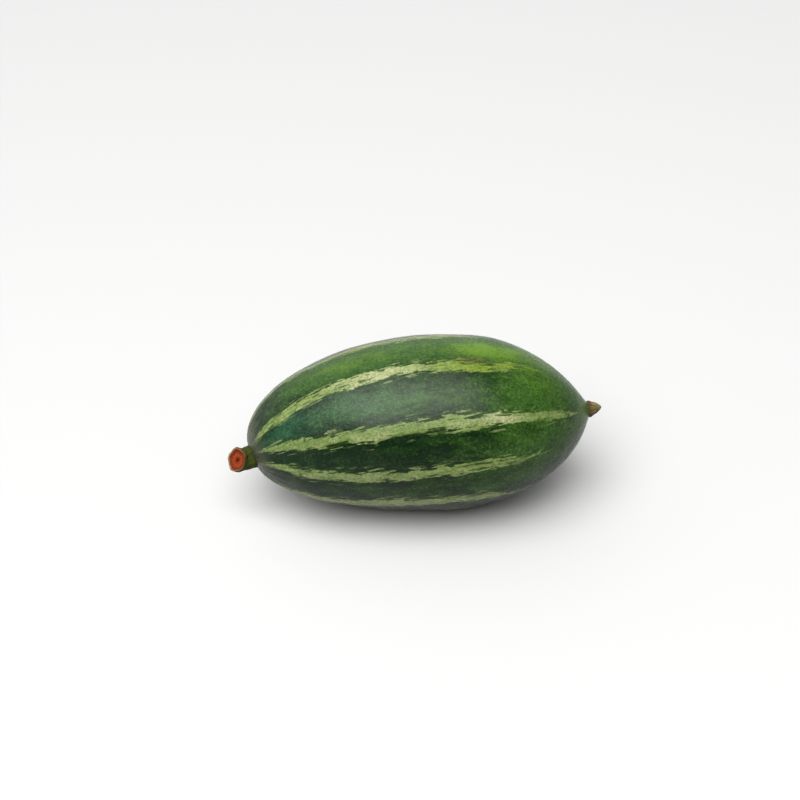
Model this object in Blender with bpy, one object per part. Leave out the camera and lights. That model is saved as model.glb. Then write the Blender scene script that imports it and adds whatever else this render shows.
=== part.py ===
"""A pointed gourd as picked, lying on its side, with its cut stem stub and the dried tip of its flower.

Metres, +Z up. The gourd lies along X with its stem at -X. The origin is the middle of the small flat
spot that it rests on. Angles round the fruit start at the front, -Y, and go up towards +Z.
"""
from math import cos, pi, radians, sin

import bpy
import numpy as np
from mathutils import Vector

# Fruit
FRUIT_LENGTH = 0.072  # from the stem scar to the flower scar
FRUIT_RADIUS = 0.0187  # at its widest place
WIDEST_AT = 0.54  # share of the length, from the stem
STEM_END_POWERS = (2.0, 2.17)  # a blunt shoulder, a little fuller than an ellipse
FLOWER_END_POWERS = (2.4, 1.48)  # a drawn-in point
STEM_SCAR_RADIUS = 0.0029
FLOWER_SCAR_RADIUS = 0.0017
SCAR_POWER = 12  # how suddenly the skin turns up to each flat scar
BOW_NEAR_STEM = 0.0071  # how far the middle line's curve is pulled off straight, at each third
BOW_NEAR_FLOWER = -0.0011
BOW_LEAN = radians(60)  # the bow leans back this far from upright
FRUIT_SIDES = 80
FRUIT_RINGS = 46

# Ribs: one low ridge under each pale stripe, highest round the stem
RIB_ANGLES = (-175, -139, -101, -64, -27, 3, 35.5, 74.5, 112, 148)  # degrees round the fruit
RIB_HALF_WIDTH = radians(9)
RIB_HEIGHT = 0.0001
STEM_RIB_HEIGHT = 0.00035
STEM_RIB_REACH = 0.16  # share of the length in which the higher ribs die away

# Stem stub: a short bent stalk with a swollen joint, cut across and drawn in at the cut
STUB_LENGTH = 0.0039
STUB_RADIUS = 0.0023
STUB_FOOT_FLARE = 0.0002
STUB_FLARE_POWER = 3
STUB_JOINT_SWELL = 0.0003
STUB_JOINT_AT = 0.85  # share of the stub's length
STUB_JOINT_SPREAD = 0.25
STUB_CUT_DIRECTION = Vector((-0.65, -0.46, 0.6))  # the way the cut face looks
STUB_RIDGES = 5
STUB_RIDGE_SHARE = 0.045  # of the stub's radius
STUB_RIM_WIDTH = 0.0004
STUB_CUP_DEPTH = 0.0004
STUB_CUP_FLOOR = 0.3  # the flat floor's share of the cup's width
STUB_SIDES = 30
STUB_RINGS = 12

# Dried flower tip: a wrinkled blunt cone
TIP_LENGTH = 0.0028
TIP_RADIUS = 0.00165
TIP_POWERS = (1.7, 1.2)
TIP_BLUNT_AT = 0.96  # share of the full cone's length, where it ends
TIP_WRINKLES = 5
TIP_WRINKLE_SHARE = 0.06  # of the tip's radius
TIP_SIDES = 20
TIP_RINGS = 9

# Where the pieces meet, and where the fruit rests
GAP = 0.0003  # between pieces that meet
REST_PITCH = radians(-4.8)  # its own balance lets the stem end down
REST_SPOT = Vector((0.0, 0.0020, -0.01762))  # its lowest place, from the middle of its length
FLAT_DEPTH = 0.00035  # how far the resting spot is flattened
FLAT_CUTTER = Vector((0.06, 0.03, 0.004))  # size of the block that flattens it

# Finishes: colour and roughness
FRUIT_FINISH = ((0.028, 0.088, 0.017), 0.4)
STUB_FINISH = ((0.24, 0.075, 0.028), 0.7)
TIP_FINISH = ((0.17, 0.11, 0.05), 0.8)
SHARP_EDGE = radians(50)


def clear_scene():
    """Take the startup objects away."""
    for thing in list(bpy.data.objects):
        bpy.data.objects.remove(thing, do_unlink=True)


def unit(vector):
    """The vector at length 1, along the last axis of an array."""
    vector = np.asarray(vector, dtype=float)
    return vector / np.linalg.norm(vector, axis=-1, keepdims=True)


def curve_through(share, handles):
    """A cubic Bezier curve with four handles: its points at each share, and its direction there."""
    t = np.asarray(share)[:, None]
    p0, p1, p2, p3 = np.asarray(handles, dtype=float)
    s = 1 - t
    points = s**3 * p0 + 3 * s * s * t * p1 + 3 * s * t * t * p2 + t**3 * p3
    directions = s * s * (p1 - p0) + 2 * s * t * (p2 - p1) + t * t * (p3 - p2)
    return points, unit(directions)


def rings_along(points, directions, radii, angles):
    """Rings of points square to a path. Angle 0 is the side nearest the front, and angles go up."""
    front = np.array([0.0, -1.0, 0.0])
    across = unit(front - (directions @ front)[:, None] * directions)
    up = np.cross(across, directions)
    around = np.cos(angles)[None, :, None] * across[:, None] + np.sin(angles)[None, :, None] * up[:, None]
    return points[:, None] + radii[..., None] * around


def middle_line(share):
    """The fruit's middle line: straight, pulled off line at each third to give the bow."""
    bow = Vector((0, sin(BOW_LEAN), cos(BOW_LEAN)))
    along = Vector((FRUIT_LENGTH, 0, 0))
    handles = (-along / 2, -along / 6 + bow * BOW_NEAR_STEM, along / 6 + bow * BOW_NEAR_FLOWER, along / 2)
    return curve_through(share, handles)


def fruit_radius(share):
    """Half-width along the fruit: a fuller quarter-oval each side of the widest place."""
    stem_side = share < WIDEST_AT
    reach = np.where(stem_side, WIDEST_AT, 1 - WIDEST_AT)
    away = np.clip(np.abs(share - WIDEST_AT) / reach, 0, 1)
    outer = np.where(stem_side, STEM_END_POWERS[0], FLOWER_END_POWERS[0])
    inner = np.where(stem_side, STEM_END_POWERS[1], FLOWER_END_POWERS[1])
    body = FRUIT_RADIUS * (1 - away**outer) ** (1 / inner)
    scar = np.where(stem_side, STEM_SCAR_RADIUS, FLOWER_SCAR_RADIUS) * away**SCAR_POWER
    return np.hypot(body, scar)


def rib_relief(share, radius, angles):
    """Height of the ribs: a rounded ridge at each rib's angle, higher by the stem, none at the scars."""
    ridge = np.zeros_like(angles)
    for degrees in RIB_ANGLES:
        off = (angles - radians(degrees) + pi) % (2 * pi) - pi
        ridge = ridge + np.exp(-((off / RIB_HALF_WIDTH) ** 2))
    height = RIB_HEIGHT + STEM_RIB_HEIGHT * np.exp(-share / STEM_RIB_REACH)
    height = height * (1 - np.minimum(STEM_SCAR_RADIUS / radius, 1) ** 2)
    return height[:, None] * ridge[None, :]


def closed_object(name, rings, finish):
    """One closed body through rings of points, with a fan of triangles over each end."""
    count, sides = rings.shape[:2]
    ends = [rings[0].mean(axis=0), rings[-1].mean(axis=0)]
    points = [tuple(p) for p in rings.reshape(-1, 3)] + [tuple(p) for p in ends]
    first_end = count * sides
    faces = []
    for j in range(sides):
        k = (j + 1) % sides
        for i in range(count - 1):
            faces.append((i * sides + j, (i + 1) * sides + j, (i + 1) * sides + k, i * sides + k))
        last = (count - 1) * sides
        faces.append((j, k, first_end))
        faces.append((last + k, last + j, first_end + 1))
    mesh = bpy.data.meshes.new(name)
    mesh.from_pydata(points, [], faces)
    mesh.shade_smooth()
    mesh.set_sharp_from_angle(angle=SHARP_EDGE)
    mesh.materials.append(plain_material(name, finish))
    body = bpy.data.objects.new(name, mesh)
    bpy.context.collection.objects.link(body)
    return body


def plain_material(name, finish):
    """A Principled material of one colour and roughness."""
    colour, roughness = finish
    material = bpy.data.materials.new(name)
    material.use_nodes = True
    shader = material.node_tree.nodes["Principled BSDF"]
    shader.inputs["Base Color"].default_value = (*colour, 1)
    shader.inputs["Roughness"].default_value = roughness
    shader.inputs["Metallic"].default_value = 0
    return material


def fruit():
    """The whole fruit: rings along the bowed middle line, closer together towards the ends."""
    share = (1 - np.cos(np.linspace(0, pi, FRUIT_RINGS))) / 2
    angles = np.linspace(0, 2 * pi, FRUIT_SIDES, endpoint=False)
    points, directions = middle_line(share)
    radius = fruit_radius(share)
    radii = radius[:, None] + rib_relief(share, radius, angles)
    return closed_object("fruit", rings_along(points, directions, radii, angles), FRUIT_FINISH)


def stem_stub():
    """The stalk's stub: it leaves the scar square, bends to its cut, and the cut face is cupped."""
    (foot,), (direction,) = middle_line([0.0])
    outwards = -Vector(direction)
    start = Vector(foot) + outwards * GAP
    third = STUB_LENGTH / 3
    bend = start + outwards * third
    cut_direction = STUB_CUT_DIRECTION.normalized()
    end = bend + (outwards + cut_direction).normalized() * third + cut_direction * third
    share = np.linspace(0, 1, STUB_RINGS)
    points, directions = curve_through(share, (start, bend, end - cut_direction * third, end))
    radius = STUB_RADIUS + STUB_FOOT_FLARE * (1 - share) ** STUB_FLARE_POWER
    radius = radius + STUB_JOINT_SWELL * np.exp(-(((share - STUB_JOINT_AT) / STUB_JOINT_SPREAD) ** 2))
    angles = np.linspace(0, 2 * pi, STUB_SIDES, endpoint=False)
    ridges = 1 + STUB_RIDGE_SHARE * np.cos(STUB_RIDGES * angles)
    side = rings_along(points, directions, radius[:, None] * ridges, angles)
    middle = points[-1]
    rim = middle + (side[-1] - middle) * (1 - STUB_RIM_WIDTH / radius[-1])
    cup = middle + (rim - middle) * STUB_CUP_FLOOR - np.array(cut_direction) * STUB_CUP_DEPTH
    rings = np.concatenate([side, rim[None], cup[None]])
    return closed_object("stem_stub", rings, STUB_FINISH)


def blossom_tip():
    """The dried flower tip: a blunt wrinkled cone standing square on the flower scar."""
    (foot,), (direction,) = middle_line([1.0])
    start = foot + direction * GAP
    share = TIP_BLUNT_AT * np.sin(np.linspace(0, pi / 2, TIP_RINGS))
    points = start + direction * (share[:, None] * TIP_LENGTH)
    directions = np.repeat(direction[None], TIP_RINGS, axis=0)
    radius = TIP_RADIUS * (1 - share ** TIP_POWERS[0]) ** (1 / TIP_POWERS[1])
    angles = np.linspace(0, 2 * pi, TIP_SIDES, endpoint=False)
    wrinkles = 1 + TIP_WRINKLE_SHARE * np.cos(TIP_WRINKLES * angles)
    rings = rings_along(points, directions, radius[:, None] * wrinkles, angles)
    return closed_object("blossom_tip", rings, TIP_FINISH)


def set_down(pieces):
    """Lay the pieces at their resting pitch and flatten the fruit where it meets the surface."""
    rest = bpy.data.objects.new("rest", None)
    bpy.context.collection.objects.link(rest)
    rest.rotation_euler = (0, REST_PITCH, 0)
    rest.location = -REST_SPOT - Vector((0, 0, FLAT_DEPTH))
    for piece in pieces:
        piece.parent = rest
    bpy.ops.mesh.primitive_cube_add(size=1, location=(0, 0, -FLAT_CUTTER.z / 2))
    cutter = bpy.context.object
    cutter.name = "flat_cutter"
    cutter.scale = FLAT_CUTTER
    cutter.hide_render = True
    cutter.display_type = "WIRE"
    flatten = pieces[0].modifiers.new("flatten", "BOOLEAN")
    flatten.operation = "DIFFERENCE"
    flatten.object = cutter


clear_scene()
set_down([fruit(), stem_stub(), blossom_tip()])
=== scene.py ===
"""The looks of a pointed gourd that lies on a white surface: its striped waxy skin, its cut stem stub
and the dried tip of its flower. Metres, +Z up, stem end at -X, camera at the front, -Y.
"""
from math import cos, pi, radians, sin

import bpy
import numpy as np
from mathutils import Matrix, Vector


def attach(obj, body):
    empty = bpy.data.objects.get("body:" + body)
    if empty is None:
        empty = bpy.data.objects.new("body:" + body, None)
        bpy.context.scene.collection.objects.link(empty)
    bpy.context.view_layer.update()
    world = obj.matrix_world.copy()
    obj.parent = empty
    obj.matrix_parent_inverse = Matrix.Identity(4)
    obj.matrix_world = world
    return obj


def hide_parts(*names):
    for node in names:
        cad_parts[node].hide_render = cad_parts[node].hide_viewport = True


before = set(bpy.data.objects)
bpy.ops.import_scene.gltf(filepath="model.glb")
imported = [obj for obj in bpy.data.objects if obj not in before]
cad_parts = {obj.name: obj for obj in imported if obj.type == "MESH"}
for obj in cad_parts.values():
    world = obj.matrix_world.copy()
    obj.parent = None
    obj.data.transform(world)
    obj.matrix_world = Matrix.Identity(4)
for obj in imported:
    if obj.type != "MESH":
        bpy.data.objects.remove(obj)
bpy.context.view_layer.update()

# The fruit
# One whole unripe fruit, grown in one piece: thick green skin over firm flesh, blunt where the stem
# joins it and drawn in to a point where the flower was. It lies on its belly, which is pressed to a
# small flat spot, and its own balance lets the stem end down a little.
FRUIT_LENGTH = 0.072
FRUIT_RADIUS = 0.0187
WIDEST_AT = 0.54
STEM_END_POWERS = (2.0, 2.17)
FLOWER_END_POWERS = (2.4, 1.48)
STEM_SCAR_RADIUS = 0.0029
FLOWER_SCAR_RADIUS = 0.0017
SCAR_POWER = 12
BOW_NEAR_STEM = 0.0071
BOW_NEAR_FLOWER = -0.0011
BOW_LEAN = radians(60)
REST_PITCH = radians(-4.8)
REST_SPOT = np.array([0.0, 0.0020, -0.01762])
FLAT_DEPTH = 0.00035
RIB_HALF_WIDTH = radians(9)
RIB_HEIGHT = 0.0001
STEM_RIB_HEIGHT = 0.00035
STEM_RIB_REACH = 0.16
PLEATS = 19  # fine folds of the skin where it gathers round the stem
PLEAT_DEPTH = 0.0001
PLEAT_REACH = 0.045
PLEAT_DRIFTS = ((2, 2.0, 0.0), (3, 1.5, 1.0))  # waves round, radians and phase: they space the pleats
UNEVEN_HEIGHT = 0.00008
UNEVEN_WAVES = ((17, 3, 0.4, 1.0), (11, -2, 5.1, 1.0), (31, 5, 0.0, 0.7))  # along, round, phase, share
SKIN_RINGS = 250
SKIN_SIDES = 360
SCAR_RINGS = 4
SCAR_MIDDLE = 0.1  # the innermost ring's share of the scar's radius
MILLIMETRES = 1000  # in a metre

# The stripes run from the stem to the flower. Each row gives one stripe's angle round the fruit in
# degrees and its half-width in mm at the six places of STRIPE_KNOTS, the share of the length where it
# breaks up, and how yellow it is. Angles start at the front and go up.
STRIPE_KNOTS = np.array([0, 0.15, 0.4, 0.65, 0.85, 1])
STRIPES = (
    ((-44, -32, -25.6, -21.3, -35.5, -44), (0.8, 1.5, 1.7, 1.2, 0.8, 0.3), 0.86, 0.4),
    ((14, 3.5, 3, 7.3, 6, 2), (0.4, 1.35, 1.25, 1.05, 1.1, 0.4), 0.86, 0.35),
    ((42, 33, 35, 38.3, 39, 37), (0.4, 1.25, 1.5, 1.35, 1.2, 0.8), 1.0, 0.25),
    ((66, 69.3, 75.3, 75.5, 83, 86), (0.5, 1.05, 1.4, 1.2, 1.4, 0.8), 0.85, 1.0),
    ((115, 110.5, 110.5, 114, 118, 118), (0.2, 0.7, 1.5, 1.6, 0.8, 0.3), 0.74, 0.3),
    ((140, 145, 148, 149, 146, 142), (0.6, 1.3, 1.7, 1.3, 0.8, 0.3), 0.86, 0.5),
    ((-180, -176, -174, -176, -180, -178), (0.8, 1.4, 2.0, 1.6, 1.0, 0.4), 0.88, 0.3),
    ((-144, -140, -138, -140, -137, -135), (0.5, 1.1, 1.5, 1.7, 0.9, 0.3), 0.80, 0.4),
    ((-97, -100, -102, -100, -96, -98), (0.8, 1.5, 1.6, 1.2, 1.1, 0.4), 0.90, 0.3),
    ((-72, -66, -63, -62, -68, -72), (0.5, 1.2, 1.8, 1.5, 0.6, 0.2), 0.82, 0.5),
)
STRIPE_SEED = 40
STRIPE_WOBBLE = 0.7  # degrees
WOBBLE_WAVES = (19, 41, 0.6)  # a long and a short wave, in radians along the fruit, and the short one's share
STRIPE_SWELL = 0.09  # how much a stripe's width varies along it
SWELL_WAVES = (23, 47, 0.8)
STRIPE_START = 0.035  # share of the length in which the stripes come up at the stem
STRIPE_FADE = 2.2  # how much depth a stripe loses where it breaks up
FADE_BEFORE = 0.18  # it loses it from this much before the place in its row to this much after
FADE_AFTER = 0.14
YELLOWING = (0.4, 0.65)  # shares of the length between which the stripes turn yellower
YELLOW_AT_STEM = 0.4  # how much of its yellow a stripe has before that
FARTHEST_FIELD = -4.0  # the depth of skin that is far from every stripe
STRAND_TWIST = 7  # radians for each metre: torn strands slant this much across the stripes
STRAND_BEND = (0.25, 0.25, 0.12)  # the slow noise that bends the strands, drawn out along each axis
BEND_NOISE = (1.0, 3.0)  # scale and detail
BEND_AMOUNT = (1.4, 1.4, 1.4)
STREAK_FINENESS = 1.8  # times as fine as the fibres
STREAK_NOISE = (3.0, 0.6)  # detail and roughness
BUMP_STRENGTH = 0.6

# Soft blots on the skin: share of the length, angle in degrees, size along as a share, size round in
# degrees, and strength
PALER_GREEN = (
    (0.28, 92, 0.20, 16, 0.55), (0.50, 95, 0.20, 16, 0.30), (0.69, 96, 0.13, 14, 0.75),
    (0.85, 72, 0.14, 30, 0.55), (0.42, 54, 0.30, 12, 0.34), (0.82, 14, 0.20, 28, 0.36),
    (0.50, -12, 0.45, 10, 0.16), (0.88, 128, 0.13, 26, 1.0), (0.80, -150, 0.20, 40, 0.50),
    (0.40, 168, 0.30, 25, 0.45), (0.70, -80, 0.22, 30, 0.25),
)
# Blue-green blots. The first, third and fourth are the skin's own teal near the stem; the second, at 0.30 of
# the length and 54 degrees, is painted sheen: a bluish tint for the wax's reflection of the soft box on the
# band that mirrors it.
TEAL_AND_SHEEN_PLACES = (
    (0.10, 54, 0.07, 14, 0.8), (0.30, 54, 0.15, 11, 0.5), (0.13, 20, 0.12, 12, 0.05),
    (0.14, -120, 0.14, 60, 0.6),
)
CREAM_PLACES = (
    (0.39, 75, 0.13, 9, 1.0), (0.42, -27, 0.35, 8, 0.6), (0.32, 3, 0.2, 6, 0.3),
    (0.73, 40, 0.06, 7, 0.9), (0.66, 41, 0.07, 5, 0.2), (0.30, -138, 0.10, 6, 0.8),
)
RAGGED_PLACES = (
    (0.50, 9, 0.06, 5, 0.4), (0.74, 14, 0.14, 9, 1.1), (0.84, 80, 0.10, 9, 0.8),
    (0.62, 43, 0.10, 6, 0.6), (0.14, 70, 0.13, 7, 0.55), (0.60, -140, 0.2, 12, 0.7),
)
SCUFFS = ((0.655, 81.5, 0.045, 2.2, 1.0), (0.33, 107, 0.05, 2, 0.6), (0.42, -160, 0.06, 3, 0.8))
DARK_SPOTS = ((0.150, 37.7, 0.006, 2.4, 1.0), (0.925, 36, 0.005, 2.5, 0.9), (0.48, -130, 0.005, 1.8, 0.9))


def smooth_step(low, high, value):
    """0 below low, 1 above high, and an S-shaped rise between them."""
    x = np.clip((value - low) / (high - low), 0, 1)
    return x * x * (3 - 2 * x)


def unit(vector):
    """The vector at length 1, along the last axis of an array."""
    return vector / np.linalg.norm(vector, axis=-1, keepdims=True)


def curve_through(share, handles):
    """A cubic Bezier curve with four handles: its points at each share, and its direction there."""
    t = np.asarray(share, dtype=float)[:, None]
    p0, p1, p2, p3 = np.asarray(handles, dtype=float)
    s = 1 - t
    points = s**3 * p0 + 3 * s * s * t * p1 + 3 * s * t * t * p2 + t**3 * p3
    directions = s * s * (p1 - p0) + 2 * s * t * (p2 - p1) + t * t * (p3 - p2)
    return points, unit(directions)


def rings_along(points, directions, radii, angles):
    """Rings square to a path: each point is the path's point plus its radius at its angle, counted
    from the side nearest the front and upwards."""
    front = np.array([0.0, -1.0, 0.0])
    across = unit(front - (directions @ front)[:, None] * directions)
    up = np.cross(across, directions)
    around = np.cos(angles)[None, :, None] * across[:, None] + np.sin(angles)[None, :, None] * up[:, None]
    return points[:, None] + radii[..., None] * around


def middle_line(share):
    """The fruit's middle line: straight, pulled off line at each third to give the bow."""
    bow = np.array([0, sin(BOW_LEAN), cos(BOW_LEAN)])
    along = np.array([FRUIT_LENGTH, 0, 0])
    handles = (-along / 2, -along / 6 + bow * BOW_NEAR_STEM, along / 6 + bow * BOW_NEAR_FLOWER, along / 2)
    return curve_through(share, handles)


def fruit_radius(share):
    """Half-width along the fruit: a full quarter-oval each side of the widest place, and a flat scar
    at each end."""
    stem_side = share < WIDEST_AT
    away = np.clip(np.abs(share - WIDEST_AT) / np.where(stem_side, WIDEST_AT, 1 - WIDEST_AT), 0, 1)
    outer = np.where(stem_side, STEM_END_POWERS[0], FLOWER_END_POWERS[0])
    inner = np.where(stem_side, STEM_END_POWERS[1], FLOWER_END_POWERS[1])
    body = FRUIT_RADIUS * (1 - away**outer) ** (1 / inner)
    scar = np.where(stem_side, STEM_SCAR_RADIUS, FLOWER_SCAR_RADIUS) * away**SCAR_POWER
    return np.hypot(body, scar)


def angle_between(angles, centre):
    """The turn from centre to each angle, between minus and plus half a circle."""
    return (angles - centre + pi) % (2 * pi) - pi


def eased_through(share, values):
    """The values at the stripe knots, carried from each to the next along an S-shaped curve."""
    values = np.asarray(values, dtype=float)
    knot = np.clip(np.searchsorted(STRIPE_KNOTS, share, side="right") - 1, 0, len(STRIPE_KNOTS) - 2)
    part = smooth_step(STRIPE_KNOTS[knot], STRIPE_KNOTS[knot + 1], share)
    return values[knot] + (values[knot + 1] - values[knot]) * part


def two_waves(share, long, short, short_share, phases):
    """A long sine wave along the fruit, plus a share of a shorter one."""
    return np.sin(long * share + phases[0]) + short_share * np.sin(short * share + phases[1])


def stripe_course(share, number):
    """A stripe's angle and half-width along the fruit: what its row says at the knots, with a slight
    wobble of both from sine waves that differ from stripe to stripe."""
    degrees, half_widths, _, _ = STRIPES[number]
    phases = np.random.default_rng(STRIPE_SEED + number).uniform(0, 2 * pi, 4)
    wobble = STRIPE_WOBBLE * two_waves(share, *WOBBLE_WAVES, phases[:2])
    swell = STRIPE_SWELL * two_waves(share, *SWELL_WAVES, phases[2:])
    half_width = eased_through(share, half_widths) * (1 + swell)
    return np.radians(eased_through(share, degrees) + wobble), half_width


def stripe_field(share, radius, angles):
    """How deep each point is in its nearest stripe: 1 on the stripe's middle line, 0 at its edge,
    falling below 0 outside it, and lower where the stripe breaks up. Also the yellowness there, which
    rises towards the flower."""
    field = np.full((len(share), len(angles)), FARTHEST_FIELD)
    yellow = np.zeros_like(field)
    for number, (_, _, fade, yellowness) in enumerate(STRIPES):
        centre, width = stripe_course(share, number)
        strength = 1 - STRIPE_FADE * smooth_step(fade - FADE_BEFORE, fade + FADE_AFTER, share)
        strength = strength - smooth_step(STRIPE_START, 0.0, share)
        off = np.abs(angle_between(angles[None], centre[:, None])) * radius[:, None] * MILLIMETRES
        depth = strength[:, None] - off / width[:, None]
        yellow = np.where(depth > field, yellowness, yellow)
        field = np.maximum(field, depth)
    ripeness = YELLOW_AT_STEM + (1 - YELLOW_AT_STEM) * smooth_step(*YELLOWING, share)
    return field, yellow * ripeness[:, None]


def skin_relief(share, radius, angles):
    """Height of the skin over its plain form: a low rib under each stripe, higher by the stem, fine
    pleats round the stem, and a slow unevenness from a few crossing waves."""
    ribs = np.zeros((len(share), len(angles)))
    for number in range(len(STRIPES)):
        centre, _ = stripe_course(share, number)
        ribs += np.exp(-((angle_between(angles[None], centre[:, None]) / RIB_HALF_WIDTH) ** 2))
    height = RIB_HEIGHT + STEM_RIB_HEIGHT * np.exp(-share / STEM_RIB_REACH)
    s, a = share[:, None], angles[None]
    drift = sum(amount * np.sin(turns * a + phase) for turns, amount, phase in PLEAT_DRIFTS)
    pleats = np.sin(PLEATS * a + drift) * np.exp(-s / PLEAT_REACH)
    uneven = sum(part * np.sin(along * s + turns * a + phase) for along, turns, phase, part in UNEVEN_WAVES)
    relief = height[:, None] * ribs + PLEAT_DEPTH * pleats + UNEVEN_HEIGHT * uneven
    return relief * (1 - np.minimum(STEM_SCAR_RADIUS / radius, 1)[:, None] ** 2)


def laid_down(points):
    """Turn points about Y by the resting pitch and lift them on to the surface, where whatever would
    sink below it is pressed flat."""
    x, y, z = points[..., 0], points[..., 1], points[..., 2]
    level_x = x * cos(REST_PITCH) + z * sin(REST_PITCH)
    level_z = z * cos(REST_PITCH) - x * sin(REST_PITCH)
    placed = np.stack([level_x, y, level_z], -1) - REST_SPOT
    placed[..., 2] = np.maximum(placed[..., 2] - FLAT_DEPTH, 0)
    return placed


def mesh_of_rings(name, rings, **attributes):
    """A closed mesh through rings of points, its first and last ring drawn together to a point, with
    one value or vector a vertex for each named attribute."""
    count, sides = rings.shape[:2]
    ends = np.stack([rings[0].mean(axis=0), rings[-1].mean(axis=0)])
    points = np.concatenate([rings.reshape(-1, 3), ends])
    row = np.arange(count - 1)[:, None] * sides
    here = np.arange(sides)[None]
    after = (here + 1) % sides
    quads = np.stack([row + here, row + sides + here, row + sides + after, row + after], -1).reshape(-1, 4)
    j, k = here[0], after[0]
    last = (count - 1) * sides
    first_fan = np.stack([j, k, np.full(sides, count * sides)], -1)
    last_fan = np.stack([last + k, last + j, np.full(sides, count * sides + 1)], -1)
    mesh = bpy.data.meshes.new(name)
    mesh.from_pydata(points.tolist(), [], quads.tolist() + first_fan.tolist() + last_fan.tolist())
    for label, values in attributes.items():
        values = np.asarray(values).reshape(count, sides, -1)
        ends = np.stack([values[0].mean(axis=0), values[-1].mean(axis=0)])
        flat = np.concatenate([values.reshape(count * sides, -1), ends])
        kind, key = ("FLOAT", "value") if flat.shape[1] == 1 else ("FLOAT_VECTOR", "vector")
        mesh.attributes.new(label, kind, "POINT").data.foreach_set(key, flat.astype(np.float32).ravel())
    mesh.shade_smooth()
    piece = bpy.data.objects.new(name, mesh)
    bpy.context.collection.objects.link(piece)
    return piece


def blots(share, angles, places):
    """Soft round blots added up, each a bell curve along the fruit and round it."""
    total = np.zeros((len(share), len(angles)))
    for at, turn, length, width, strength in places:
        along = (share[:, None] - at) / length
        across = np.degrees(angle_between(angles[None], radians(turn))) / width
        total += strength * np.exp(-(along**2) - across**2)
    return total


def on_a_roll(angles, along, radius):
    """Coordinates in mm for a surface that closes round: a circle of one radius, and the length."""
    angles, along = np.broadcast_arrays(angles, along)
    return np.stack([radius * np.cos(angles), radius * np.sin(angles), along], -1) * MILLIMETRES


def make_fruit():
    """The fruit's skin, closed over both scars, with what its material needs to know of each place."""
    share = (1 - np.cos(np.linspace(0, pi, SKIN_RINGS))) / 2
    angles = np.linspace(0, 2 * pi, SKIN_SIDES, endpoint=False)
    radius = fruit_radius(share)
    radii = radius[:, None] + skin_relief(share, radius, angles)
    inward = np.linspace(SCAR_MIDDLE, 1, SCAR_RINGS, endpoint=False)[:, None]
    radii = np.concatenate([radii[:1] * inward, radii, radii[-1:] * inward[::-1]])
    ring = np.clip(np.arange(len(radii)) - SCAR_RINGS, 0, SKIN_RINGS - 1)
    share, radius = share[ring], radius[ring]
    points, directions = middle_line(share)
    field, yellow = stripe_field(share, radius, angles)
    along = FRUIT_LENGTH * share[:, None]
    return mesh_of_rings(
        "fruit_skin",
        laid_down(rings_along(points, directions, radii, angles)),
        strand=on_a_roll(angles[None] - STRAND_TWIST * along, along, FRUIT_RADIUS),
        stripe=field,
        yellow=yellow,
        paler=blots(share, angles, PALER_GREEN),
        teal=blots(share, angles, TEAL_AND_SHEEN_PLACES),
        cream=blots(share, angles, CREAM_PLACES),
        ragged=blots(share, angles, RAGGED_PLACES),
        scuff=blots(share, angles, SCUFFS),
        spot=blots(share, angles, DARK_SPOTS),
        length=np.repeat(share, SKIN_SIDES),
    )


def add_node(tree, kind, links=None, **settings):
    """One node with its settings, and for each named or numbered input a value or another's output."""
    node = tree.nodes.new(kind)
    for key, value in settings.items():
        setattr(node, key, value)
    for key, value in (links or {}).items():
        if isinstance(value, bpy.types.NodeSocket):
            tree.links.new(value, node.inputs[key])
        else:
            node.inputs[key].default_value = value
    return node


def attribute(tree, name, output="Fac"):
    """One of the mesh's own attributes."""
    return add_node(tree, "ShaderNodeAttribute", attribute_name=name).outputs[output]


def math(tree, operation, first, second=0.0, third=0.0):
    """The result of one sum, product or the like."""
    return add_node(tree, "ShaderNodeMath", {0: first, 1: second, 2: third}, operation=operation).outputs[0]


def ramp(tree, value, low, high, to_low=0.0, to_high=1.0):
    """A value carried smoothly from one range into another, and held at its ends."""
    links = {"Value": value, "From Min": low, "From Max": high, "To Min": to_low, "To Max": to_high}
    return add_node(tree, "ShaderNodeMapRange", links, interpolation_type="SMOOTHSTEP").outputs["Result"]


def along_way(tree, way, direction):
    """How far a direction points the way of another: their dot product."""
    links = {0: way, 1: direction}
    return add_node(tree, "ShaderNodeVectorMath", links, operation="DOT_PRODUCT").outputs["Value"]


def mix(tree, share, first, second):
    """Two colours mixed by a share. A colour is three numbers or another node's output. The node's
    colours are its inputs 6 and 7 and its output 2."""
    first = first if isinstance(first, bpy.types.NodeSocket) else (*first, 1)
    second = second if isinstance(second, bpy.types.NodeSocket) else (*second, 1)
    return add_node(tree, "ShaderNodeMix", {0: share, 6: first, 7: second}, data_type="RGBA").outputs[2]


def stretched(tree, vector, factors):
    """Coordinates drawn out or pressed together along each axis."""
    return add_node(tree, "ShaderNodeVectorMath", {0: vector, 1: factors}, operation="MULTIPLY").outputs[0]


def noise(tree, vector, scale, detail=2.0, roughness=0.5, output="Fac"):
    """Cloudy noise between 0 and 1, as a value or as a colour."""
    links = {"Vector": vector, "Scale": scale, "Detail": detail, "Roughness": roughness}
    return add_node(tree, "ShaderNodeTexNoise", links).outputs[output]


def new_group(name, inputs, outputs):
    """An empty node group with named inputs and outputs: its tree, its input node and its output node.
    An input is its name, kind and default value, and an output is its name and kind."""
    tree = bpy.data.node_groups.new(name, "ShaderNodeTree")
    for label, kind, default in inputs:
        socket = tree.interface.new_socket(label, in_out="INPUT", socket_type=kind)
        socket.default_value = default
    for label, kind in outputs:
        tree.interface.new_socket(label, in_out="OUTPUT", socket_type=kind)
    return tree, tree.nodes.new("NodeGroupInput"), tree.nodes.new("NodeGroupOutput")


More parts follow.
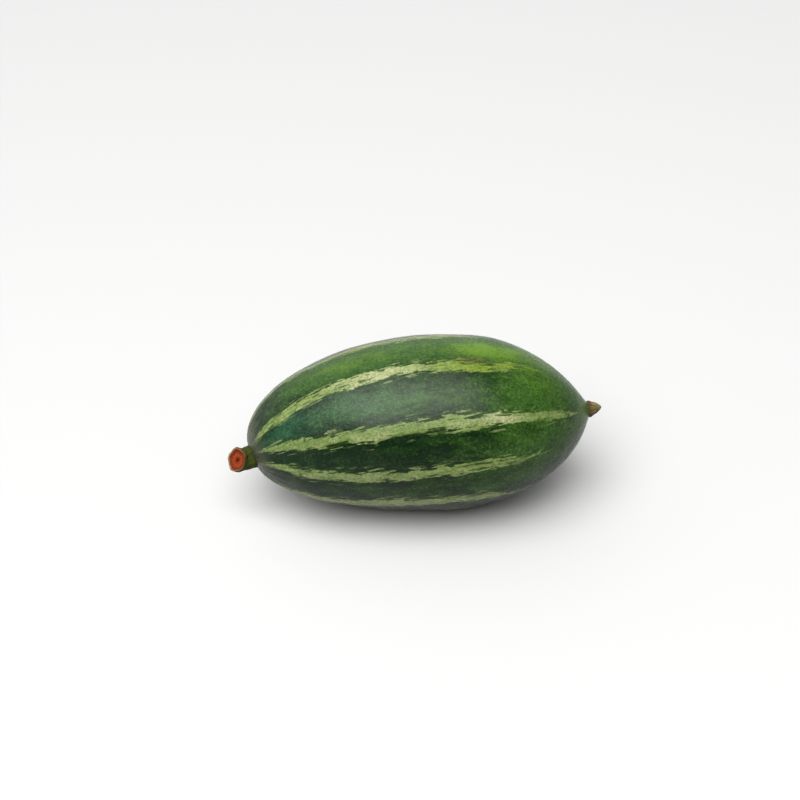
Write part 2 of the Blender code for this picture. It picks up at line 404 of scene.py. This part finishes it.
def fibre_group():
    """Long fibres along the third coordinate: slow noise bends the place, then narrow drawn-out cells
    give each fibre its own value and finer drawn-out noise its streaks."""
    inputs = [("Place", "NodeSocketVector", (0, 0, 0)), ("Fineness", "NodeSocketFloat", 1.0),
              ("Shortness", "NodeSocketFloat", 0.15)]
    outputs = [(label, "NodeSocketFloat") for label in ("Fibre", "Other Fibre", "Streak")]
    tree, start, end = new_group("fibres", inputs, outputs)
    place = start.outputs["Place"]
    slow = noise(tree, stretched(tree, place, STRAND_BEND), *BEND_NOISE, output="Color")
    bend = {0: slow, 1: BEND_AMOUNT, 2: place}
    bent = add_node(tree, "ShaderNodeVectorMath", bend, operation="MULTIPLY_ADD").outputs[0]
    drawn = add_node(tree, "ShaderNodeCombineXYZ", {0: 1.0, 1: 1.0, 2: start.outputs["Shortness"]}).outputs[0]
    place = stretched(tree, bent, drawn)
    cells = add_node(tree, "ShaderNodeTexVoronoi", {"Vector": place, "Scale": start.outputs["Fineness"]})
    parts = add_node(tree, "ShaderNodeSeparateColor", {0: cells.outputs["Color"]})
    tree.links.new(parts.outputs[0], end.inputs["Fibre"])
    tree.links.new(parts.outputs[1], end.inputs["Other Fibre"])
    finer = math(tree, "MULTIPLY", start.outputs["Fineness"], STREAK_FINENESS)
    tree.links.new(noise(tree, place, finer, *STREAK_NOISE), end.inputs["Streak"])
    return tree


def torn_group():
    """A torn edge: a depth, 0 at the edge and more inside it, is shifted by fibres and streaks and
    then cut off over a short stretch, which gives a mask."""
    inputs = [("Depth", "NodeSocketFloat", 0.0), ("Fibre", "NodeSocketFloat", 0.5),
              ("Streak", "NodeSocketFloat", 0.5), ("Fibre Tear", "NodeSocketFloat", 0.5),
              ("Streak Tear", "NodeSocketFloat", 1.0), ("Softness", "NodeSocketFloat", 0.15)]
    tree, start, end = new_group("torn_edge", inputs, [("Mask", "NodeSocketFloat")])
    depth = start.outputs["Depth"]
    for source, amount in (("Fibre", "Fibre Tear"), ("Streak", "Streak Tear")):
        shift = math(tree, "SUBTRACT", start.outputs[source], 0.5)
        depth = math(tree, "ADD", depth, math(tree, "MULTIPLY", shift, start.outputs[amount]))
    tree.links.new(ramp(tree, depth, 0.0, start.outputs["Softness"]), end.inputs["Mask"])
    return tree


def place_group(tree, group, **links):
    """The outputs of a group placed in a material, with each named input's value or link. An input's
    spaces are written as underscores."""
    named = {key.replace("_", " "): value for key, value in links.items()}
    return add_node(tree, "ShaderNodeGroup", named, node_tree=group).outputs


def add_bump(tree, shader, depth, height):
    """Small bumps on a shader's surface, of a depth in metres."""
    links = {"Strength": BUMP_STRENGTH, "Distance": depth, "Height": height}
    bump = add_node(tree, "ShaderNodeBump", links)
    tree.links.new(bump.outputs["Normal"], shader.inputs["Normal"])


def new_material(name):
    """An empty Principled material: the material, its node tree and its shader."""
    material = bpy.data.materials.new(name)
    material.use_nodes = True
    return material, material.node_tree, material.node_tree.nodes["Principled BSDF"]


fibres = fibre_group()
torn_edge = torn_group()

# Skin colours, as linear red, green and blue
DEEP_GREEN = (0.0012, 0.009, 0.0015)
LEAF_GREEN = (0.021, 0.062, 0.006)
LIME_GREEN = (0.083, 0.172, 0.004)
# The skin's teal, also used for the bluish painted sheen on the band where the wax mirrors the soft box
TEAL_AND_SHEEN_GREEN = (0.014, 0.062, 0.032)
FLECK_GREEN = (0.055, 0.10, 0.026)
FRINGE_GREEN = (0.060, 0.105, 0.014)
STRIPE_GREEN = (0.14, 0.192, 0.062)
STRIPE_CREAM = (0.285, 0.30, 0.15)
STRIPE_YELLOW = (0.14, 0.20, 0.010)
STRIPE_DULL = (0.045, 0.080, 0.018)
END_GREY = (0.042, 0.090, 0.010)
COLLAR_GREY = (0.045, 0.048, 0.026)
SCUFF_TAN = (0.17, 0.085, 0.03)
SPOT_BROWN = (0.02, 0.022, 0.004)
SKIN_GLOSS = 0.17
SKIN_BUMP = 0.00017

# Clouds on the skin: how they are drawn out along each axis, how many go to the mm, and the detail and
# roughness of their noise
MOTTLE = ((0.4, 1, 1), 0.5, 5.0, 0.6)
PATCHES = ((0.5, 1, 1), 0.5, 4.0, 0.6)
GRAIN = ((0.9, 1, 1), 2.0, 4.0, 0.7)
SLOW = ((0.35, 1, 1), 0.7, 2.0, 0.5)
STREAK_SHARE = 0.65  # of the fine streaks, where the rest is grain

# What the clouds and places do to the green. Each range says between which values a measure counts,
# and what it is carried to, if not 0 to 1
MOTTLE_PALER = (0.3, 0.7, -0.10, 0.14)
LEAF_RANGE = (0.0, 0.5)
LIME_RANGE = (0.45, 1.1)
MOTTLE_TEAL_AND_SHEEN = (0.3, 0.6, 0.4, 1.0)
MOST_TEAL_AND_SHEEN = 0.9
GRAIN_DARK = (0.52, 0.36, 0.0, 0.5)
GRAIN_FLECK = (0.50, 0.66)
PALER_FLECK = (0.0, 0.4, 0.15, 0.7)
END_RANGE = (0.96, 1.04)
END_STREAK = 0.06  # how far the streaks shift the greyer ends, as a share of the length
COLLAR_RANGE = (0.075, 0.03, 0.0, 0.9)
SCUFF_STREAK = (0.45, 0.6, 0.0, 0.8)
SPOT_RANGE = (0.4, 0.8, 0.0, 0.8)
SKIN_ROUGHNESS = (0.35, 0.65, 0.20, 0.33)
GRAIN_RELIEF = 0.7
STREAK_RELIEF = 0.15

# What they do to the pale green of the stripes, in the same way
PATCH_YELLOW = (0.35, 0.65, 0.4, 1.3)
PATCH_CREAM = (0.46, 0.62)
YELLOW_AGAINST_CREAM = (-0.5, 0.6)  # a factor, and what is added
FIBRE_DULL = (0.3, 0.9, 0.2, 0.8)
STREAK_DULL = (0.38, 0.60, 1.0, 0.25)
CREAM_AGAINST_DULL = (-0.75, 1.0)  # a factor, and what is added
GRAIN_FRECKLE = (0.58, 0.38, 0.0, 0.6)

# How a stripe's edge is torn. Its depths count in half-widths of the stripe
SKIN_STRANDS = {"Fineness": 3.0, "Shortness": 0.14}
STRIPE_EDGE = {"Fibre_Tear": 0.6, "Streak_Tear": 1.1, "Softness": 0.3}
SLOW_SHIFT = (0.3, 0.7, -0.3, 0.2)
RAGGED_SHIFT = (2.2, -1.2)  # a factor, and what is added
LOOSE_STRANDS = (0.84, 0.90)  # strands beside a stripe whose value is this high are pale too
LOOSE_REACH = (-1.1, -0.4, 0.0, 0.8)
FRINGE_WIDTH = 0.35
FRINGE_SOFTNESS = 0.9
FRINGE_STRENGTH = 0.3


def clouds(tree, place, stretch, scale, detail, roughness):
    """Noise in coordinates that are drawn out along each axis."""
    return noise(tree, stretched(tree, place, stretch), scale, detail, roughness)


def skin_ground(tree, skin, torn, streak, grain):
    """The green between the stripes: deep, leafy or lime by its place and by clouds of mottling, with teal
    near the stem and a bluish teal painted as sheen along the band where the wax mirrors the soft box, fine
    pale flecks, and a lighter fringe beside each stripe."""
    mottle = clouds(tree, skin, *MOTTLE)
    paler = math(tree, "ADD", attribute(tree, "paler"), ramp(tree, mottle, *MOTTLE_PALER))
    green = mix(tree, ramp(tree, paler, *LEAF_RANGE), DEEP_GREEN, LEAF_GREEN)
    green = mix(tree, ramp(tree, paler, *LIME_RANGE), green, LIME_GREEN)
    # Teal of the skin, and a bluish painted sheen on the band where the wax mirrors the soft box
    teal = math(tree, "MULTIPLY", attribute(tree, "teal"), ramp(tree, mottle, *MOTTLE_TEAL_AND_SHEEN))
    green = mix(tree, math(tree, "MINIMUM", teal, MOST_TEAL_AND_SHEEN), green, TEAL_AND_SHEEN_GREEN)
    green = mix(tree, ramp(tree, grain, *GRAIN_DARK), green, DEEP_GREEN)
    flecks = math(tree, "MULTIPLY", ramp(tree, grain, *GRAIN_FLECK), ramp(tree, paler, *PALER_FLECK))
    green = mix(tree, flecks, green, FLECK_GREEN)
    depth = math(tree, "ADD", attribute(tree, "stripe"), FRINGE_WIDTH)
    fringe = place_group(tree, torn_edge, Depth=depth, Fibre=torn, Streak=streak, Softness=FRINGE_SOFTNESS)
    return mix(tree, math(tree, "MULTIPLY", fringe["Mask"], FRINGE_STRENGTH), green, FRINGE_GREEN)


def skin_stripe(tree, skin, fibre, streak, grain):
    """A stripe's pale green: yellower or creamier by its place, duller fibre by fibre, and freckled."""
    patch = clouds(tree, skin, *PATCHES)
    yellow = math(tree, "MULTIPLY", attribute(tree, "yellow"), ramp(tree, patch, *PATCH_YELLOW))
    pale = mix(tree, math(tree, "MINIMUM", yellow, 1.0), STRIPE_GREEN, STRIPE_YELLOW)
    unyellow = math(tree, "MULTIPLY_ADD", attribute(tree, "yellow"), *YELLOW_AGAINST_CREAM)
    cream = math(tree, "MULTIPLY_ADD", ramp(tree, patch, *PATCH_CREAM), unyellow, attribute(tree, "cream"))
    cream = math(tree, "MINIMUM", cream, 1.0)
    pale = mix(tree, cream, pale, STRIPE_CREAM)
    dull = math(tree, "MULTIPLY", ramp(tree, fibre, *FIBRE_DULL), ramp(tree, streak, *STREAK_DULL))
    dull = math(tree, "MULTIPLY", dull, math(tree, "MULTIPLY_ADD", cream, *CREAM_AGAINST_DULL))
    pale = mix(tree, dull, pale, STRIPE_DULL)
    return mix(tree, ramp(tree, grain, *GRAIN_FRECKLE), pale, STRIPE_DULL)


def stripe_mask(tree, fibre, other, streak, slow):
    """Where the stripes are: their depth, shifted slowly along them and strand by strand where the
    skin is ragged, then torn off at the edge, with a loose strand here and there beside it."""
    stripe = attribute(tree, "stripe")
    ragged = math(tree, "MULTIPLY_ADD", fibre, *RAGGED_SHIFT)
    depth = math(tree, "ADD", stripe, ramp(tree, slow, *SLOW_SHIFT))
    depth = math(tree, "MULTIPLY_ADD", attribute(tree, "ragged"), ragged, depth)
    torn = place_group(tree, torn_edge, Depth=depth, Fibre=fibre, Streak=streak, **STRIPE_EDGE)
    loose = math(tree, "MULTIPLY", ramp(tree, other, *LOOSE_STRANDS), ramp(tree, stripe, *LOOSE_REACH))
    return math(tree, "MAXIMUM", torn["Mask"], loose)


def skin_material():
    """Green skin with pale stripes, whose edges are torn into long slanting strands, greyer at both
    ends, with a few scuffs and spots, a waxy sheen and a fine grain."""
    material, tree, shader = new_material("fruit_skin")
    place = add_node(tree, "ShaderNodeTexCoord").outputs["Object"]
    skin = stretched(tree, place, (MILLIMETRES, MILLIMETRES, MILLIMETRES))
    strand = place_group(tree, fibres, Place=attribute(tree, "strand", "Vector"), **SKIN_STRANDS)
    fibre, other = strand["Fibre"], strand["Other Fibre"]
    grain = clouds(tree, skin, *GRAIN)
    slow = clouds(tree, skin, *SLOW)
    streak = math(tree, "MULTIPLY", grain, 1 - STREAK_SHARE)
    streak = math(tree, "MULTIPLY_ADD", strand["Streak"], STREAK_SHARE, streak)
    colour = mix(tree, stripe_mask(tree, fibre, other, streak, slow),
                 skin_ground(tree, skin, fibre, streak, grain),
                 skin_stripe(tree, skin, other, streak, grain))
    along = math(tree, "MULTIPLY_ADD", streak, END_STREAK, attribute(tree, "length"))
    colour = mix(tree, ramp(tree, along, *END_RANGE), colour, END_GREY)
    colour = mix(tree, ramp(tree, along, *COLLAR_RANGE), colour, COLLAR_GREY)
    scuff = math(tree, "MULTIPLY", attribute(tree, "scuff"), ramp(tree, streak, *SCUFF_STREAK))
    colour = mix(tree, scuff, colour, SCUFF_TAN)
    colour = mix(tree, ramp(tree, attribute(tree, "spot"), *SPOT_RANGE), colour, SPOT_BROWN)
    tree.links.new(colour, shader.inputs["Base Color"])
    tree.links.new(ramp(tree, slow, *SKIN_ROUGHNESS), shader.inputs["Roughness"])
    shader.inputs["Specular IOR Level"].default_value = SKIN_GLOSS
    fine = math(tree, "MULTIPLY", streak, STREAK_RELIEF)
    add_bump(tree, shader, SKIN_BUMP, math(tree, "MULTIPLY_ADD", grain, GRAIN_RELIEF, fine))
    return material


fruit = make_fruit()
fruit.data.materials.append(skin_material())
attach(fruit, "root")
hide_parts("fruit")

# The stem stub
# The short end of the stalk that the fruit hung by, cut through at its swollen joint. Green where it
# grows out of the fruit, with ridges along it, and reddish-orange and cupped where it was cut.
STUB_LENGTH = 0.0039
STUB_RADIUS = 0.0023
STUB_FOOT_FLARE = 0.0002
STUB_FLARE_POWER = 3
STUB_JOINT_SWELL = 0.0003
STUB_JOINT_AT = 0.85
STUB_JOINT_SPREAD = 0.25
STUB_CUT_DIRECTION = (-0.65, -0.46, 0.6)
STUB_RIDGES = 5
STUB_RIDGE_SHARE = 0.045
FINE_RIDGES = 13
FINE_RIDGE_PART = 0.35  # of the ridges' height
STUB_KNOB_SHARE = 0.03
KNOB_WAVES = (3, 7, 9)  # round the stub, and twice along it, in radians over its length
STUB_RIM_WIDTH = 0.0004
STUB_RIM_HEIGHT = 0.15  # of the cup's depth
STUB_RIM_SIDE = radians(135)  # where the dry rim of the cut is widest
STUB_CUP_DEPTH = 0.0004
STUB_CUP_START = 0.7  # of the rim's width
STUB_CUP_FLOOR = 0.55  # how far in the cup's floor starts, as a share of the cut's radius
CUT_PUCKERS = 11
PUCKER_HEIGHT = 0.00006
PUCKER_TWIST = 5  # radians from the edge to the middle
PUCKER_FROM = 0.5  # how far in the pucker is at its full height
FACE_MIDDLE = 0.97  # how far in the last ring lies, just short of the middle
STUB_GAP = 0.0003
STUB_SINK = 0.0002  # how far the foot goes into the scar
STUB_SIDES = 120
STUB_RINGS = 60
FACE_RINGS = 40


def make_stub():
    """The stub: rings along a bent path from the scar to the cut, ridged and faintly knobbed by waves
    round them, then rings drawn in over the rounded rim and down into the cup, where the flesh is
    puckered round the middle."""
    (foot,), (direction,) = middle_line([0.0])
    outwards = -direction
    start = foot + outwards * STUB_GAP
    third = STUB_LENGTH / 3
    bend = start + outwards * third
    cut_direction = unit(np.array(STUB_CUT_DIRECTION))
    end = bend + unit(outwards + cut_direction) * third + cut_direction * third
    share = np.linspace(0, 1, STUB_RINGS)
    points, directions = curve_through(share, (start, bend, end - cut_direction * third, end))
    points[0] = foot - outwards * STUB_SINK
    angles = np.linspace(0, 2 * pi, STUB_SIDES, endpoint=False)
    radius = STUB_RADIUS + STUB_FOOT_FLARE * (1 - share) ** STUB_FLARE_POWER
    radius = radius + STUB_JOINT_SWELL * np.exp(-(((share - STUB_JOINT_AT) / STUB_JOINT_SPREAD) ** 2))
    ridges = np.cos(STUB_RIDGES * angles) + FINE_RIDGE_PART * np.cos(FINE_RIDGES * angles + 1)
    ridges = 1 + STUB_RIDGE_SHARE * ridges
    s = share[:, None]
    turns, twist, rows = KNOB_WAVES
    knobs = STUB_KNOB_SHARE * np.sin(turns * angles[None] + twist * s) * np.sin(rows * s + 1)
    side = rings_along(points, directions, radius[:, None] * (ridges + knobs), angles)
    middle = points[-1]
    inward = np.linspace(0, 1, FACE_RINGS + 1)[1:, None]
    rim = STUB_RIM_WIDTH / radius[-1]
    depth = STUB_RIM_HEIGHT * STUB_CUP_DEPTH * np.sin(np.clip(inward / rim, 0, 1) * pi)
    depth = depth - STUB_CUP_DEPTH * smooth_step(rim * STUB_CUP_START, STUB_CUP_FLOOR, inward)
    pucker = np.sin(CUT_PUCKERS * angles[None] + PUCKER_TWIST * inward) * smooth_step(rim, PUCKER_FROM, inward)
    flat = side[-1] + (middle - side[-1]) * (inward * FACE_MIDDLE)[..., None]
    face = flat + (depth + PUCKER_HEIGHT * pucker)[..., None] * cut_direction
    along = np.concatenate([share, 1 + inward[:, 0]])
    return mesh_of_rings(
        "stem_stub_skin",
        laid_down(np.concatenate([side, face])),
        along=np.repeat(along, STUB_SIDES),
        rim=np.tile(0.5 + 0.5 * np.cos(angles - STUB_RIM_SIDE), len(along)),
        bark=on_a_roll(angles[None], along[:, None] * STUB_LENGTH, STUB_RADIUS),
    )


# The olive of the stub's bark, made darker by painted shade
SHADED_STUB_OLIVE = (0.026, 0.034, 0.006)
STUB_BARK = (0.060, 0.036, 0.010)
RIM_BEIGE = (0.21, 0.125, 0.065)
CUT_BROWN = (0.10, 0.014, 0.003)
CUT_ORANGE = (0.18, 0.034, 0.008)
CUT_DARK = (0.10, 0.006, 0.002)
STUB_GLOSS = 0.06
STUB_BUMP = 0.00015
STUB_FIBRES = {"Fineness": 2.5, "Shortness": 0.3}
STUB_FLECKS = (2.0, 4.0, 0.6)  # how many go to the mm, detail and roughness
STUB_EDGE = {"Fibre_Tear": 0.05, "Streak_Tear": 0.25}
STREAK_LIGHTENS = (0.5, 0.7, 0.0, 0.3)
STUB_ROUGHNESS = (0.3, 0.7, 0.5, 0.8)
RIM_SPREAD = 0.15  # how much farther in the dry rim reaches on its wide side

# The colours in turn, from the olive foot to the middle of the cut: whether the dry rim's width moves
# the change, where it is (0 foot, 1 edge of the cut, 2 middle), how soft it is, and the next colour
STUB_COLOURS = (
    (False, 0.75, 0.4, STUB_BARK), (False, 0.99, 0.05, RIM_BEIGE), (True, 0.97, 0.1, CUT_BROWN),
    (True, 1.12, 0.35, CUT_ORANGE), (False, 1.62, 0.3, CUT_DARK),
)


def stub_material():
    """Olive green bark, darkened with painted shade, that browns towards the cut, a dry pale rim, and orange
    flesh, darker in the middle, with fibres along the bark and torn edges between the colours."""
    material, tree, shader = new_material("stem_stub_skin")
    along = attribute(tree, "along")
    bark = attribute(tree, "bark", "Vector")
    strand = place_group(tree, fibres, Place=bark, **STUB_FIBRES)
    fibre, streak = strand["Fibre"], strand["Streak"]
    flecks = noise(tree, bark, *STUB_FLECKS)
    colour = mix(tree, ramp(tree, streak, *STREAK_LIGHTENS), SHADED_STUB_OLIVE, FRINGE_GREEN)
    behind_rim = math(tree, "MULTIPLY_ADD", attribute(tree, "rim"), -RIM_SPREAD, along)
    for moved, start, softness, next_colour in STUB_COLOURS:
        depth = math(tree, "SUBTRACT", behind_rim if moved else along, start)
        passed = place_group(tree, torn_edge, Depth=depth, Fibre=fibre, Streak=flecks, Softness=softness,
                             **STUB_EDGE)
        colour = mix(tree, passed["Mask"], colour, next_colour)
    tree.links.new(colour, shader.inputs["Base Color"])
    tree.links.new(ramp(tree, streak, *STUB_ROUGHNESS), shader.inputs["Roughness"])
    shader.inputs["Specular IOR Level"].default_value = STUB_GLOSS
    add_bump(tree, shader, STUB_BUMP, math(tree, "ADD", streak, flecks))
    return material


stub = make_stub()
stub.data.materials.append(stub_material())
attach(stub, "root")
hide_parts("stem_stub")

# The flower tip
# What is left of the dried flower at the fruit's point: a small brown blunt cone of withered tissue,
# wrinkled along its length, that the skin runs out on to.
TIP_LENGTH = 0.0028
TIP_RADIUS = 0.00165
TIP_POWERS = (1.7, 1.2)
TIP_BLUNT_AT = 0.96
TIP_WRINKLES = 5
TIP_WRINKLE_SHARE = 0.06
WRINKLE_TWIST = 2  # radians from foot to point
FINE_WRINKLES = 13
FINE_WRINKLE_PART = 0.5  # of the wrinkles' height
FINE_WRINKLE_TWIST = -3
TIP_COLLAR = ((0.05, 0.1, 0.09), (-0.05, 0.32, 0.1))  # height as a share, place along and length
TIP_GAP = 0.0003
TIP_SINK = 0.0001
TIP_SIDES = 96
TIP_RINGS = 64
# Painted light: blots where the tip's upper side and its front near the point are painted paler, on the faces
# turned to the soft box
TIP_LIT_PLACES = ((0.5, 85, 0.4, 35, 1.4), (0.88, 20, 0.2, 60, 0.8))


def make_tip():
    """The tip: rings along the fruit's own direction, their radius falling as a blunt cone, folded by
    waves round and along it."""
    (foot,), (direction,) = middle_line([1.0])
    share = TIP_BLUNT_AT * np.sin(np.linspace(0, pi / 2, TIP_RINGS))
    points = foot + direction * (TIP_GAP + share[:, None] * TIP_LENGTH)
    points[0] = foot - direction * TIP_SINK
    directions = np.repeat(direction[None], TIP_RINGS, axis=0)
    radius = TIP_RADIUS * (1 - share ** TIP_POWERS[0]) ** (1 / TIP_POWERS[1])
    angles = np.linspace(0, 2 * pi, TIP_SIDES, endpoint=False)
    s, a = share[:, None], angles[None]
    fine = FINE_WRINKLE_PART * np.cos(FINE_WRINKLES * a + FINE_WRINKLE_TWIST * s)
    wrinkles = 1 + TIP_WRINKLE_SHARE * (np.cos(TIP_WRINKLES * a + WRINKLE_TWIST * s) + fine)
    collar = sum(height * np.exp(-(((s - at) / length) ** 2)) for height, at, length in TIP_COLLAR)
    return mesh_of_rings(
        "blossom_tip_skin",
        laid_down(rings_along(points, directions, radius[:, None] * (wrinkles + collar), angles)),
        along=np.repeat(share, TIP_SIDES),
        husk=on_a_roll(a, s * TIP_LENGTH, TIP_RADIUS),
        upper=blots(share, angles, TIP_LIT_PLACES),
    )


HUSK_BROWN = (0.060, 0.036, 0.011)
HUSK_DARK = (0.024, 0.014, 0.004)
HUSK_RED = (0.040, 0.020, 0.010)
# Cream of the tissue's streaks, also used for the light painted on its upper and front sides
HUSK_CREAM_AND_LIGHT = (0.24, 0.21, 0.075)
HUSK_GREEN = (0.13, 0.13, 0.05)
TIP_ROUGHNESS = 0.75
TIP_BUMP = 0.0001
TIP_FIBRES = {"Fineness": 3.0, "Shortness": 0.25}
STREAK_CREAM = (0.45, 0.66, 0.0, 0.5)
LIT_SIDE_CREAM = 0.5  # how much cream comes from the light painted on the sides turned up and to the front
FIBRE_DARK = (0.6, 0.95, 0.0, 0.7)
GREEN_FROM = 0.62  # share of the tip's length from which it is greenish
GREEN_EDGE = {"Fibre_Tear": 0.1, "Streak_Tear": 0.4, "Softness": 0.2}
RED_TO = 0.36  # and up to which it is reddish
RED_EDGE = {"Fibre_Tear": 0.2, "Streak_Tear": 0.6, "Softness": 0.5}


def tip_material():
    """Withered brown tissue: cream in streaks, and paler on its upper and front sides where light is painted
    as cream, dark fibre by fibre, greenish at the point and reddish at the foot."""
    material, tree, shader = new_material("blossom_tip_skin")
    along = attribute(tree, "along")
    strand = place_group(tree, fibres, Place=attribute(tree, "husk", "Vector"), **TIP_FIBRES)
    fibre, streak = strand["Fibre"], strand["Streak"]
    pale = ramp(tree, streak, *STREAK_CREAM)
    # Light painted as cream where the tip faces up and to the front
    pale = math(tree, "MULTIPLY_ADD", attribute(tree, "upper"), LIT_SIDE_CREAM, pale)
    colour = mix(tree, math(tree, "MINIMUM", pale, 1.0), HUSK_BROWN, HUSK_CREAM_AND_LIGHT)
    colour = mix(tree, ramp(tree, fibre, *FIBRE_DARK), colour, HUSK_DARK)
    depth = math(tree, "SUBTRACT", along, GREEN_FROM)
    point = place_group(tree, torn_edge, Depth=depth, Fibre=fibre, Streak=streak, **GREEN_EDGE)
    colour = mix(tree, point["Mask"], colour, HUSK_GREEN)
    depth = math(tree, "SUBTRACT", RED_TO, along)
    foot = place_group(tree, torn_edge, Depth=depth, Fibre=fibre, Streak=streak, **RED_EDGE)
    colour = mix(tree, foot["Mask"], colour, HUSK_RED)
    tree.links.new(colour, shader.inputs["Base Color"])
    shader.inputs["Roughness"].default_value = TIP_ROUGHNESS
    shader.inputs["Specular IOR Level"].default_value = SKIN_GLOSS
    add_bump(tree, shader, TIP_BUMP, streak)
    return material


tip = make_tip()
tip.data.materials.append(tip_material())
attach(tip, "root")
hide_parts("blossom_tip")

# The floor
# A plain sheet of white paper, wide enough to fill every view, that the gourd lies on.
FLOOR_HALF_WIDTH = 4.0
FLOOR_WHITE = (0.44, 0.44, 0.438)
FLOOR_ROUGHNESS = 0.9
FLOOR_GLOSS = 0.1
FLOOR_DROP = 0.00002


def make_floor():
    """One flat square of paper just under the gourd."""
    corners = [(x * FLOOR_HALF_WIDTH, y * FLOOR_HALF_WIDTH, -FLOOR_DROP) for x, y in
               ((-1, -1), (1, -1), (1, 1), (-1, 1))]
    mesh = bpy.data.meshes.new("paper_floor")
    mesh.from_pydata(corners, [], [(0, 1, 2, 3)])
    floor = bpy.data.objects.new("paper_floor", mesh)
    bpy.context.collection.objects.link(floor)
    material, tree, shader = new_material("paper_floor")
    shader.inputs["Base Color"].default_value = (*FLOOR_WHITE, 1)
    shader.inputs["Roughness"].default_value = FLOOR_ROUGHNESS
    shader.inputs["Specular IOR Level"].default_value = FLOOR_GLOSS
    mesh.materials.append(material)
    return floor


make_floor()

# The light
# A soft box hangs over the gourd, a little towards the camera, in a wide soft glow of its own light on
# the ceiling. The room is pale overhead and at its sides, palest at the wall behind and to the left,
# and dim on the camera's side.
SOFT_BOX_AT = (-0.10, -0.235, 0.50)
SOFT_BOX_SIZE = (0.60, 0.54)
SOFT_BOX_POWER = 3.35
# Each light of the room has its strength and a spread: how nearly a direction has to point its way,
# as a dot product, for the light to start and to be full
GLOW_WAY = (-0.24, -0.27, 0.93)
GLOW_STRENGTH = 4.9
GLOW_SPREAD = (0.80, 0.96)
ROOM_DIM = 0.02
ROOM_OVERHEAD = 0.35
OVERHEAD_SPREAD = (0.1, 0.9)
WALL_WAY = (-0.6, 0.8, 0)
WALL_BEHIND = 1.15
WALL_SPREAD = (0.0, 0.65)
CAMERA_SIDE = (0, -1, 0)
ROOM_SIDES = 0.4  # this one dies away towards the camera's side
SIDES_SPREAD = (0.1, 0.6)


def make_light():
    """The soft box, turned to look at the gourd, and the room's light by direction: the strongest of
    overhead, wall and sides, and the glow of the soft box on top of it."""
    lamp = bpy.data.lights.new("soft_box", "AREA")
    lamp.shape = "RECTANGLE"
    lamp.size, lamp.size_y = SOFT_BOX_SIZE
    lamp.energy = SOFT_BOX_POWER
    box = bpy.data.objects.new("soft_box", lamp)
    box.location = SOFT_BOX_AT
    box.rotation_euler = Vector(SOFT_BOX_AT).to_track_quat("Z", "Y").to_euler()
    bpy.context.collection.objects.link(box)
    world = bpy.data.worlds.new("room")
    world.use_nodes = True
    tree = world.node_tree
    way = add_node(tree, "ShaderNodeTexCoord").outputs["Generated"]
    height = add_node(tree, "ShaderNodeSeparateXYZ", {0: way}).outputs["Z"]
    overhead = ramp(tree, height, *OVERHEAD_SPREAD, ROOM_DIM, ROOM_OVERHEAD)
    behind = ramp(tree, along_way(tree, way, WALL_WAY), *WALL_SPREAD, 0.0, WALL_BEHIND)
    glow = ramp(tree, along_way(tree, way, GLOW_WAY), *GLOW_SPREAD, 0.0, GLOW_STRENGTH)
    sides = ramp(tree, along_way(tree, way, CAMERA_SIDE), *SIDES_SPREAD, ROOM_SIDES, 0.0)
    room = math(tree, "MAXIMUM", math(tree, "MAXIMUM", overhead, behind), sides)
    room = math(tree, "ADD", room, glow)
    tree.links.new(room, tree.nodes["Background"].inputs["Strength"])
    tree.nodes["Background"].inputs["Color"].default_value = (1, 1, 1, 1)
    bpy.context.scene.world = world


make_light()
bpy.context.scene.view_settings.view_transform = "Standard"

# The camera
# A short telephoto lens that looks down on the gourd from the front, a little round to its stem end.
# It is aimed so that the gourd stands where it does in the photograph.
CAMERA_AZIMUTH = radians(-6.7)
CAMERA_ELEVATION = radians(38)
CAMERA_DISTANCE = 0.4023
CAMERA_NEAREST = 0.01
CAMERA_LENS = 85
SENSOR_WIDTH = 36
PICTURE_WIDTH = 800
GOURD_MIDDLE_PIXEL = (420.9, 432.6)


def make_camera():
    """The camera stands back from the middle of the gourd along its viewing angle, and moves across
    and up until that middle falls on its pixel in the picture."""
    level = cos(CAMERA_ELEVATION)
    back = np.array([sin(CAMERA_AZIMUTH) * level, -cos(CAMERA_AZIMUTH) * level, sin(CAMERA_ELEVATION)])
    right = np.array([cos(CAMERA_AZIMUTH), sin(CAMERA_AZIMUTH), 0.0])
    up = np.cross(back, right)
    pixel = CAMERA_DISTANCE * SENSOR_WIDTH / CAMERA_LENS / PICTURE_WIDTH
    middle = -REST_SPOT - np.array([0, 0, FLAT_DEPTH])
    across = (PICTURE_WIDTH / 2 - GOURD_MIDDLE_PIXEL[0]) * pixel
    rise = (GOURD_MIDDLE_PIXEL[1] - PICTURE_WIDTH / 2) * pixel
    lens = bpy.data.cameras.new("camera")
    lens.lens = CAMERA_LENS
    lens.sensor_width = SENSOR_WIDTH
    lens.clip_start = CAMERA_NEAREST
    camera = bpy.data.objects.new("camera", lens)
    camera.location = middle + back * CAMERA_DISTANCE + right * across + up * rise
    camera.rotation_euler = (pi / 2 - CAMERA_ELEVATION, 0, CAMERA_AZIMUTH)
    bpy.context.collection.objects.link(camera)
    bpy.context.scene.camera = camera


make_camera()
